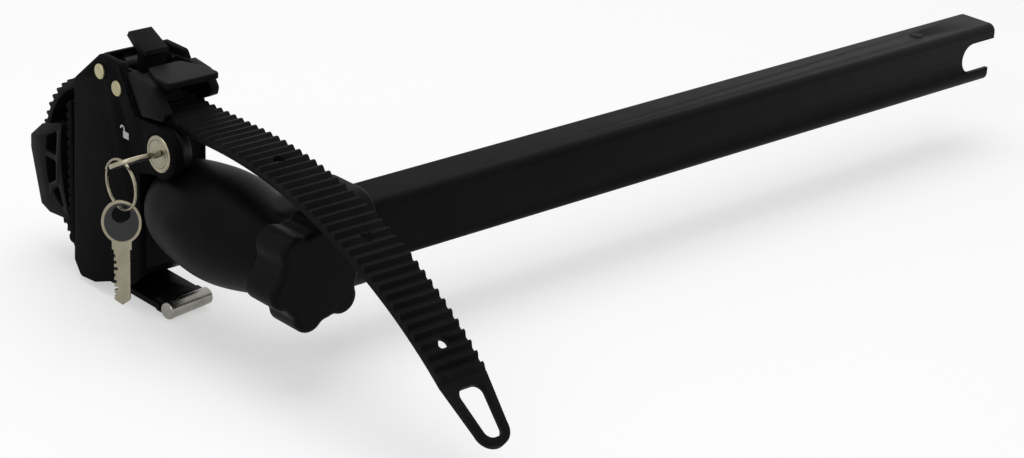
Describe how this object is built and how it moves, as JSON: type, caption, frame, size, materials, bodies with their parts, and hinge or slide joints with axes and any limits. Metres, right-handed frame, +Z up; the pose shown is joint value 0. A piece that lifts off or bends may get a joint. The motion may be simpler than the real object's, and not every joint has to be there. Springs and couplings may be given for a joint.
{
  "type": "wheel clamp arm",
  "caption": "Box-section steel arm with a forked end, carrying a swivelling head with a hand knob, a ratchet strap with a pressure shoe, and a keyed lock.",
  "frame": {"origin": "centre of the round root of the fork's notch, halfway across the tube", "axes": "+X along the arm from the head towards the fork's open end, +Y across the tube from the hand knob towards the strap head, +Z up"},
  "size_m": [0.5029, 0.3101, 0.1216],
  "materials": {
    "black_steel": "satin black powder coat",
    "black_nylon": "moulded, lightly grained",
    "black_strap": "flexible moulded plastic",
    "black_rubber": "matt",
    "zinc_yellow": "yellow zinc plate",
    "bright_steel": "zinc plate",
    "nickel": "nickel plate",
    "brass": "turned",
    "spring_steel": "drawn wire"
  },
  "bodies": {
    "arm": {"arm_tube": "black_steel", "tube_plug": "black_nylon", "swivel_housing": "black_nylon", "socket_screw": "bright_steel", "arm_detent_ring": "bright_steel", "knob_washer": "bright_steel", "release_spring": "spring_steel"},
    "knob": {"hand_knob": "black_nylon", "knob_insert": "brass"},
    "head": {"toothed_strap": "black_strap", "anchor_pin": "bright_steel", "pressure_shoe": "black_nylon", "near_side_plate": "black_nylon", "far_side_plate": "black_nylon", "head_core": "black_nylon", "head_detent_ring": "bright_steel", "clamp_bolt": "bright_steel", "frame_screws": "bright_steel", "jaw_pad": "black_rubber", "top_cover": "black_nylon", "lever_pin": "zinc_yellow", "pawl_pin": "zinc_yellow", "drive_pawl_spring": "spring_steel", "release_spring_coil": "spring_steel", "lock_barrel": "nickel", "lock_clip": "spring_steel"},
    "lever": {"ratchet_lever": "black_nylon"},
    "pawl": {"drive_pawl": "bright_steel"},
    "release": {"release_lever": "black_nylon"},
    "plug": {"lock_plug": "nickel", "lock_wafers": "brass", "lock_cam": "bright_steel"},
    "key": {"lock_key": "nickel"},
    "ring": {"key_ring": "nickel"},
    "spare": {"spare_key": "nickel"}
  },
  "joints": [
    {"name": "head_swivel", "type": "hinge", "parent": "arm", "child": "head", "pos_m": [-0.4425, 0.07, 0], "axis": [0, 1, 0], "range_deg": [-180, 35]},
    {"name": "knob_turn", "type": "hinge", "parent": "arm", "child": "knob", "pos_m": [-0.4425, -0.024, 0], "axis": [0, 1, 0], "continuous": true},
    {"name": "lever_lift", "type": "hinge", "parent": "head", "child": "lever", "pos_m": [-0.4425, 0.0993, 0.0538], "axis": [1, 0, 0], "range_deg": [-28, 0]},
    {"name": "drive_pawl_swing", "type": "hinge", "parent": "lever", "child": "pawl", "pos_m": [-0.4425, 0.0993, 0.0538], "axis": [1, 0, 0], "range_deg": [-12, 0], "stiffness_Nm_per_rad": 0.02, "springref_deg": 8.59},
    {"name": "release_press", "type": "hinge", "parent": "head", "child": "release", "pos_m": [-0.4425, 0.0864, 0.0498], "axis": [1, 0, 0], "range_deg": [-18, 0], "stiffness_Nm_per_rad": 0.04, "springref_deg": 8.59},
    {"name": "lock_turn", "type": "hinge", "parent": "head", "child": "plug", "pos_m": [-0.46, 0.0533, 0.0305], "axis": [1, 0, 0], "range_deg": [0, 90]},
    {"name": "key_withdraw", "type": "slide", "parent": "plug", "child": "key", "axis": [-1, 0, 0], "range_m": [0, 0.014]},
    {"name": "ring_swing", "type": "hinge", "parent": "key", "child": "ring", "pos_m": [-0.4792, 0.0534, 0.03044], "axis": [0, 0.967, 0.2547], "range_deg": [-4, 30]},
    {"name": "spare_swing", "type": "hinge", "parent": "ring", "child": "spare", "pos_m": [-0.4792, 0.0562, 0.0088], "axis": [0, 1, 0], "range_deg": [-3, 30]}
  ]
}
